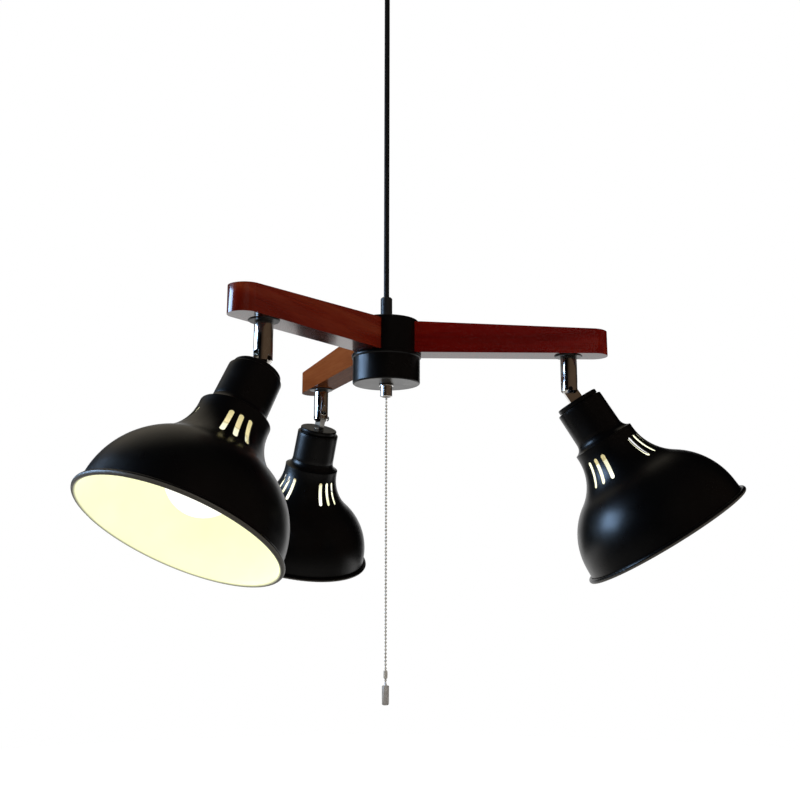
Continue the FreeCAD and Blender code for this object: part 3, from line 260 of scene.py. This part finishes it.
def black_lacquer():
    """Satin black paint on metal: slight unevenness, faint dust and fine orange peel."""
    finish = Finish("black_lacquer")
    base = finish.tones(
        finish.noise(14, detail=2.0), (0.0005, 0.0005, 0.0006), (0.0012, 0.0011, 0.0012)
    )
    dust = finish.span(finish.noise(2600, detail=1.0), 0.0, 1.0, 0.78, 0.84)
    finish.set(
        Base_Color=finish.mix(dust, base, (0.008, 0.008, 0.009)),
        Roughness=finish.span(finish.noise(60, detail=4.0), 0.27, 0.34),
        Specular_IOR_Level=0.22,
    )
    finish.bump(finish.noise(900, detail=2.0), 0.00003)
    return finish.material


def enamel_with_painted_glow(name, bulb):
    """Cream enamel with a painted glow: whiter near the bulb as a painted pool of light, and nearly
    black on the bead as painted shade.
    """
    finish = Finish(name)
    cloud = finish.noise(30, detail=2.0)
    away = finish.distance(bulb)
    # painted shade: the enamel goes nearly black on the bead
    painted_shade_on_bead = finish.span(away, 0.0, 1.0, *PAINTED_BEAD_SHADE)
    # painted pool of light: the enamel is whiter near the bulb
    painted_light_near_bulb = finish.span(away, 1.0, 0.0, *PAINTED_GLOW_FADE)
    cream = finish.tones(cloud, (0.42, 0.42, 0.23), (0.46, 0.46, 0.26))
    # colours of the painted glow, whiter near the bulb
    lit = finish.mix(painted_light_near_bulb, (0.78, 0.79, 0.53), (1.0, 1.0, 0.85))
    # the emission is a painted glow, as the shade's inside is no lamp; painted shade darkens both
    # the colour and the glow on the bead
    finish.set(
        Base_Color=finish.mix(painted_shade_on_bead, cream, (0.03, 0.028, 0.024)),
        Emission_Color=finish.mix(painted_shade_on_bead, lit, (0.012, 0.011, 0.009)),
        Emission_Strength=finish.span(cloud, 0.97, 1.03),
        Roughness=finish.span(finish.noise(80), 0.4, 0.5),
        Specular_IOR_Level=0.3,
    )
    finish.bump(finish.noise(700, detail=2.0), 0.00003)
    return finish.material


def lacquered_wood(name, turn, gloss, dark, middle, light):
    """Close-grained wood under clear lacquer, with its grain along the arm."""
    finish = Finish(name)
    figure = finish.noise(
        9, detail=4.0, roughness=0.6, stretch=(0.5, 5.0, 5.0), turn=turn, distortion=0.6
    )
    fibres = finish.noise(130, detail=6.0, roughness=0.65, stretch=(0.12, 4.0, 4.0), turn=turn)
    pores = finish.noise(240, detail=2.0, stretch=(0.12, 5.0, 5.0), turn=turn)
    colour = finish.ramp(figure, (0.28, dark), (0.5, middle), (0.74, light))
    streaks = finish.mix(finish.span(fibres, 0.0, 0.45), colour, dark)
    pore_mask = finish.span(pores, 0.0, 0.6, 0.62, 0.74)
    finish.set(
        Base_Color=finish.mix(pore_mask, streaks, darker(dark, 0.4)),
        Roughness=finish.span(fibres, 0.38, 0.52),
        Specular_IOR_Level=0.0,
        Coat_Weight=gloss,
        Coat_Roughness=LACQUER_ROUGHNESS,
    )
    finish.bump(finish.maths("SUBTRACT", fibres, pore_mask), 0.00002)
    return finish.material


def plated_metal(name, colour, low=0.08, high=0.2, metallic=1.0):
    """Plated metal with fine marks round it; dulled plating is less metallic."""
    finish = Finish(name)
    marks = finish.noise(900, detail=4.0, stretch=(1, 1, 9.0))
    haze = finish.noise(120, detail=3.0)
    finish.set(
        Base_Color=finish.tones(haze, darker(colour, 0.88), colour),
        Roughness=finish.span(haze, low, high),
        Metallic=metallic,
    )
    finish.bump(marks, 0.000006)
    return finish.material


def brushed_steel(name, colour, low=0.28, high=0.44, metallic=1.0):
    """Metal with drawn lines in its colour, its gloss and its surface."""
    finish = Finish(name)
    lines = finish.noise(700, detail=5.0, stretch=(0.15, 1, 8.0))
    finish.set(
        Base_Color=finish.tones(lines, darker(colour, 0.75), colour),
        Roughness=finish.span(lines, low, high),
        Metallic=metallic,
    )
    finish.bump(lines, 0.000012)
    return finish.material


def moulded_plastic(name, dark, light, low, high):
    """Moulded plastic with a fine even texture."""
    finish = Finish(name)
    finish.set(
        Base_Color=finish.tones(finish.noise(40), dark, light),
        Roughness=finish.span(finish.noise(150), low, high),
        Specular_IOR_Level=0.35,
    )
    finish.bump(finish.noise(1800, detail=2.0), 0.00003)
    return finish.material


def cord_jacket():
    """Black cord jacket with a faint lengthwise rib."""
    finish = Finish("cord_jacket")
    ribs = finish.noise(1500, detail=2.0, stretch=(1, 1, 0.03))
    finish.set(
        Base_Color=finish.tones(ribs, (0.002, 0.002, 0.002), (0.005, 0.005, 0.005)),
        Roughness=finish.span(finish.noise(90), 0.34, 0.46),
        Specular_IOR_Level=0.12,
    )
    finish.bump(ribs, 0.00002)
    return finish.material


def opal_glass(name, neck):
    """Opal glass of a lit bulb, dimmer towards its neck."""
    finish = Finish(name)
    cloud = finish.noise(60, detail=2.0)
    away = finish.span(finish.distance(neck), 0.0, 1.0, *OPAL_DIM)
    finish.set(
        Base_Color=finish.tones(cloud, (0.36, 0.35, 0.3), (0.4, 0.39, 0.33)),
        Emission_Color=finish.mix(away, (0.42, 0.42, 0.27), (1.1, 1.1, 1.03)),
        Emission_Strength=finish.span(cloud, 0.97, 1.03),
        Roughness=finish.span(cloud, 0.22, 0.32),
        Specular_IOR_Level=0.4,
    )
    return finish.material


def make_finishes():
    """The finishes that several parts share, by name."""
    black = (0.003, 0.003, 0.003), (0.006, 0.006, 0.006)
    white = (0.6, 0.52, 0.37), (0.66, 0.58, 0.42)
    return {
        "lacquer": black_lacquer(),
        "chrome": plated_metal("chrome", (0.78, 0.76, 0.73)),
        "nickel": plated_metal("nickel", (0.42, 0.41, 0.38), 0.3, 0.42, metallic=0.3),
        "steel": brushed_steel("steel", (0.62, 0.61, 0.6)),
        "grey_metal": brushed_steel("grey_metal", (0.4, 0.39, 0.38), 0.24, 0.34, metallic=0.4),
        "black_oxide": brushed_steel("black_oxide", (0.05, 0.05, 0.052), 0.3, 0.42),
        "black_plastic": moulded_plastic("black_plastic", *black, 0.36, 0.46),
        "white_plastic": moulded_plastic("white_plastic", *white, 0.25, 0.35),
        "jacket": cord_jacket(),
    }


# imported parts


def dress(node, material, rounding=0.0):
    """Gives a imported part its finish, and rounds its sharp edges by that radius."""
    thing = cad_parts[node]
    thing.data.materials.clear()
    thing.data.materials.append(material)
    if rounding:
        weld = thing.modifiers.new("Weld", "WELD")
        weld.merge_threshold = WELD_DISTANCE
        bevel = thing.modifiers.new("Rounding", "BEVEL")
        bevel.width = rounding
        bevel.segments = ROUNDING_SEGMENTS
        bevel.limit_method = "ANGLE"
        bevel.angle_limit = SHARP_EDGE
        bevel.harden_normals = True
    return thing


def dress_shade(name, outside, inside):
    """Paints a shade's outside; its inner wall and the lower half of its bead are enamel."""
    thing = dress(f"shade_{name}", outside)
    thing.data.materials.append(inside)
    to_head = head_matrix(name).inverted()
    turn = to_head.to_3x3()
    for polygon in thing.data.polygons:
        centre = to_head @ polygon.center
        normal = turn @ polygon.normal
        outwards = normal.x * centre.x + normal.y * centre.y
        radius = math.hypot(centre.x, centre.y)
        in_mouth = radius < MOUTH_RADIUS or centre.z > BEAD_INSIDE
        inner_wall = outwards < FACES_AXIS * radius and in_mouth
        under_sheet = normal.z > FACES_MOUTH and centre.z < SHADE_TOP_END
        if inner_wall or under_sheet or centre.z > BEAD_MIDDLE:
            polygon.material_index = 1


# pieces of the scene's own


def new_piece(name, mesh, body, material):
    """An object that moves with that body and has that material."""
    piece = bpy.data.objects.new(name, mesh)
    bpy.context.scene.collection.objects.link(piece)
    piece.data.materials.append(material)
    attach(piece, body)
    return piece


def make_cord(material):
    """The taut cord, from the grip's throat down into the gland."""
    curve = bpy.data.curves.new("hanging_cord", "CURVE")
    curve.dimensions = "3D"
    curve.bevel_depth = CORD_RADIUS
    curve.bevel_resolution = 8
    curve.use_fill_caps = True
    spline = curve.splines.new("NURBS")
    spline.points.add(len(CORD_HEIGHTS) - 1)
    for point, height in zip(spline.points, CORD_HEIGHTS):
        point.co = (0, 0, height, 1)
    spline.order_u = 3
    spline.use_endpoint_u = True
    piece = new_piece("hanging_cord", curve, "cord_run", material)
    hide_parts("cord", "cord_bend")


def spin_profile(name, profile, matrix, sides):
    """A mesh turned from (radius, height) points about the matrix's Z axis."""
    mesh = bmesh.new()
    rings = []
    for radius, height in profile:
        ring = []
        for index in range(sides if radius > 0 else 1):
            angle = 2 * math.pi * index / sides
            corner = (radius * math.cos(angle), radius * math.sin(angle), height)
            ring.append(mesh.verts.new(corner))
        rings.append(ring)
    for lower, upper in zip(rings, rings[1:]):
        for index in range(sides):
            following = (index + 1) % sides
            corners = [lower[index % len(lower)], lower[following % len(lower)],
                       upper[following % len(upper)], upper[index % len(upper)]]
            mesh.faces.new(list(dict.fromkeys(corners)))
    bmesh.ops.recalc_face_normals(mesh, faces=mesh.faces)
    for face in mesh.faces:
        face.smooth = True
    mesh.transform(matrix)
    data = bpy.data.meshes.new(name)
    mesh.to_mesh(data)
    mesh.free()
    return data


def bulb_profile():
    """Outline of a bulb: contact, screw cap, a neck that widens smoothly, and a round globe."""
    cap_radius, cap_end = BULB_CAP
    contact_radius, start = BULB_CONTACT
    points = [
        (0.0, start),
        (contact_radius, start),
        (cap_radius, start + BULB_CAP_TAPER),
        (cap_radius, cap_end),
    ]
    across, along = math.cos(BULB_SHOULDER), math.sin(BULB_SHOULDER)
    neck = Vector((*BULB_NECK, 0))
    join = Vector((BULB_RADIUS * across, BULB_CENTRE - BULB_RADIUS * along, 0))
    pull = (join - neck).length / 3
    neck_pull = neck + Vector((0, pull, 0))
    join_pull = join - Vector((along, across, 0)) * pull
    curve = interpolate_bezier(neck, neck_pull, join_pull, join, BULB_NECK_POINTS)
    points += [(point.x, point.y) for point in curve]
    for step in range(1, BULB_GLOBE_STEPS + 1):
        angle = -BULB_SHOULDER + (math.pi / 2 + BULB_SHOULDER) * step / BULB_GLOBE_STEPS
        radius = BULB_RADIUS * math.cos(angle) if step < BULB_GLOBE_STEPS else 0.0
        points.append((radius, BULB_CENTRE + BULB_RADIUS * math.sin(angle)))
    return points


def make_bulb(name, glass, cap):
    """A lit bulb in its lampholder; it reaches as far out of the neck as the photographed ones."""
    to_world = head_matrix(name)
    mesh = spin_profile(f"lit_bulb_{name}", bulb_profile(), to_world, BULB_SIDES)
    piece = new_piece(f"lit_bulb_{name}", mesh, f"head_{name}", glass)
    mesh.materials.append(cap)
    to_head = to_world.inverted()
    for polygon in mesh.polygons:
        if (to_head @ polygon.center).z < BULB_CAP[1]:
            polygon.material_index = 1
    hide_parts(f"bulb_{name}")


def finish_head(name, finishes):
    """Dresses an arm and its head, and puts a lit bulb in it."""
    # each arm's tones hold painted light and shade: the back arm is lighter, the others darker
    tones = ARM_TONES_WITH_PAINTED_LIGHT[name]
    wood = lacquered_wood(f"wood_{name}", ARM_TURNS[name], LACQUER_GLOSS[name], *tones)
    dress(f"arm_{name}", wood, ARM_ROUNDING)
    for finish, rounding, parts in HEAD_PARTS:
        for part in parts:
            dress(f"{part}_{name}", finishes[finish], rounding)
    to_world = head_matrix(name)
    opal = opal_glass(f"opal_glass_{name}", to_world @ Vector((0, 0, OPAL_DIM_PLACE)))
    # the shade's enamel, with a painted glow and painted shade on its bead
    enamel = enamel_with_painted_glow(f"enamel_with_painted_glow_{name}", to_world @ Vector((0, 0, BULB_CENTRE)))
    make_bulb(name, opal, finishes["nickel"])
    dress_shade(name, finishes["lacquer"], enamel)


# light, floor and camera


def seen_as_backdrop(graph, behind):
    """One for camera rays, and for glossy and transmitted rays that go behind the lamp."""
    path = graph.node("ShaderNodeLightPath").outputs
    through = graph.maths("MAXIMUM", path["Is Glossy Ray"], path["Is Transmission Ray"])
    return graph.maths("MAXIMUM", path["Is Camera Ray"], graph.maths("MULTIPLY", through, behind))


def make_floor():
    """Pale floor: it keeps the lamp's shadow, and far off it is as white as the backdrop."""
    mesh = bmesh.new()
    bmesh.ops.create_circle(mesh, cap_ends=True, segments=FLOOR_SIDES, radius=FLOOR_RADIUS)
    data = bpy.data.meshes.new("floor")
    mesh.to_mesh(data)
    mesh.free()
    floor = bpy.data.objects.new("floor", data)
    floor.location.z = FLOOR_HEIGHT
    bpy.context.scene.collection.objects.link(floor)
    finish = Finish("pale_floor")
    white = finish.span(finish.distance((0, 0, 0)), 0.7, 1.0, *FLOOR_FAR)
    axes = finish.node("ShaderNodeSeparateXYZ", {"Vector": finish.coordinates()}).outputs
    behind = finish.span(axes["Y"], 0.0, 1.0, *FLOOR_BEHIND)
    finish.set(
        Base_Color=(0.8, 0.8, 0.8, 1.0),
        Roughness=0.9,
        Specular_IOR_Level=0.0,
        Emission_Color=(1.0, 1.0, 1.0, 1.0),
        Emission_Strength=finish.maths("MULTIPLY", white, seen_as_backdrop(finish, behind)),
    )
    data.materials.append(finish.material)


def make_world():
    """A white backdrop behind the lamp; the rest is a dim room, cool left and warm right."""
    world = bpy.data.worlds.new("room")
    world.use_nodes = True
    bpy.context.scene.world = world
    graph = Graph(world.node_tree)
    direction = graph.coordinates("Generated")

    def glow(towards, start, end, high=1.0):
        """Rises from zero to the high value as the direction turns towards the given one."""
        along = graph.vector_maths("DOT_PRODUCT", direction, Vector(towards).normalized())
        return graph.span(along.outputs["Value"], 0.0, high, start, end, ease="SMOOTHSTEP")

    def tint(colour, strength):
        inputs = {0: colour, "Scale": strength}
        return graph.node("ShaderNodeVectorMath", inputs, operation="SCALE").outputs["Vector"]

    def add(first, second):
        return graph.vector_maths("ADD", first, second).outputs["Vector"]

    cool = tint((0.75, 0.88, 1.0), glow((-1.0, 0.12, 0.1), 0.75, 1.0, 0.6))
    warm = tint((1.0, 0.66, 0.42), glow((0.75, -0.6, 0.1), 0.2, 0.9, 0.08))
    upper = tint((1.0, 0.9, 0.72), glow((-0.3, 0.55, 0.75), 0.82, 1.0, 0.5))
    room = add(add(cool, warm), upper)
    backdrop = seen_as_backdrop(graph, glow((0.0, 1.0, 0.0), 0.84, 0.97))
    seen = graph.mix(backdrop, room, (1.0, 1.0, 1.0))
    graph.feed(graph.tree.nodes["Background"].inputs["Color"], seen)


def soft_light(name, place, width, height, power, colour, in_gloss=False):
    """A soft panel aimed at the lamp's middle; it lights surfaces or shines in their gloss."""
    data = bpy.data.lights.new(name, "AREA")
    data.shape = "RECTANGLE"
    data.size = width
    data.size_y = height
    data.energy = power
    data.color = colour
    light = bpy.data.objects.new(name, data)
    light.location = place
    light.rotation_euler = (LIGHT_AIM - Vector(place)).to_track_quat("-Z", "Y").to_euler()
    light.visible_camera = False
    light.visible_glossy = in_gloss
    light.visible_diffuse = not in_gloss
    bpy.context.scene.collection.objects.link(light)


def make_lights():
    """A window that only gloss sees, at the left, and four fills that only light surfaces."""
    window = (-1.66, -0.06, -0.14)
    soft_light("left_window", window, 0.95, 0.7, 42, (0.42, 0.65, 1.0), in_gloss=True)
    soft_light("left_fill", (-1.5, -0.5, 0.0), 1.2, 1.2, 26, (1.0, 0.95, 0.88))
    soft_light("front_fill", (0.6, -1.8, 0.0), 1.2, 1.2, 30, (1.0, 0.97, 0.93))
    soft_light("right_fill", (1.6, -0.2, 0.0), 1.2, 1.2, 14, (1.0, 0.93, 0.85))
    soft_light("top_fill", (0.1, 0.3, 1.1), 1.6, 1.6, 12, (1.0, 1.0, 1.0))


def make_camera():
    """The photograph's view."""
    data = bpy.data.cameras.new("camera")
    data.sensor_width = SENSOR_WIDTH
    data.sensor_fit = "HORIZONTAL"
    data.lens = FOCAL_PIXELS * SENSOR_WIDTH / PICTURE_SIZE
    camera = bpy.data.objects.new("camera", data)
    camera.location = CAMERA_PLACE
    camera.rotation_euler = (math.radians(90 + CAMERA_PITCH), 0, 0)
    bpy.context.scene.collection.objects.link(camera)
    bpy.context.scene.camera = camera


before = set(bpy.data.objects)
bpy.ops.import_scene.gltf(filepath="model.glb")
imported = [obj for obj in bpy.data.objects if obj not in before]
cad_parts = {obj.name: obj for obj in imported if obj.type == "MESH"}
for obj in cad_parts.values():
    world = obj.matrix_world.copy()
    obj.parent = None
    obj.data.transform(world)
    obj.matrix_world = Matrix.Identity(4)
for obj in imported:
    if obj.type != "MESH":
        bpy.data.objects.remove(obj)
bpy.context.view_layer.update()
bpy.context.scene.view_settings.view_transform = "Standard"

shared = make_finishes()
for finish_name, part_rounding, part_names in SINGLE_PARTS:
    for part_name in part_names:
        dress(part_name, shared[finish_name], part_rounding)
for head in HEADS:
    finish_head(head, shared)
make_cord(shared["jacket"])
make_floor()
make_world()
make_lights()
make_camera()
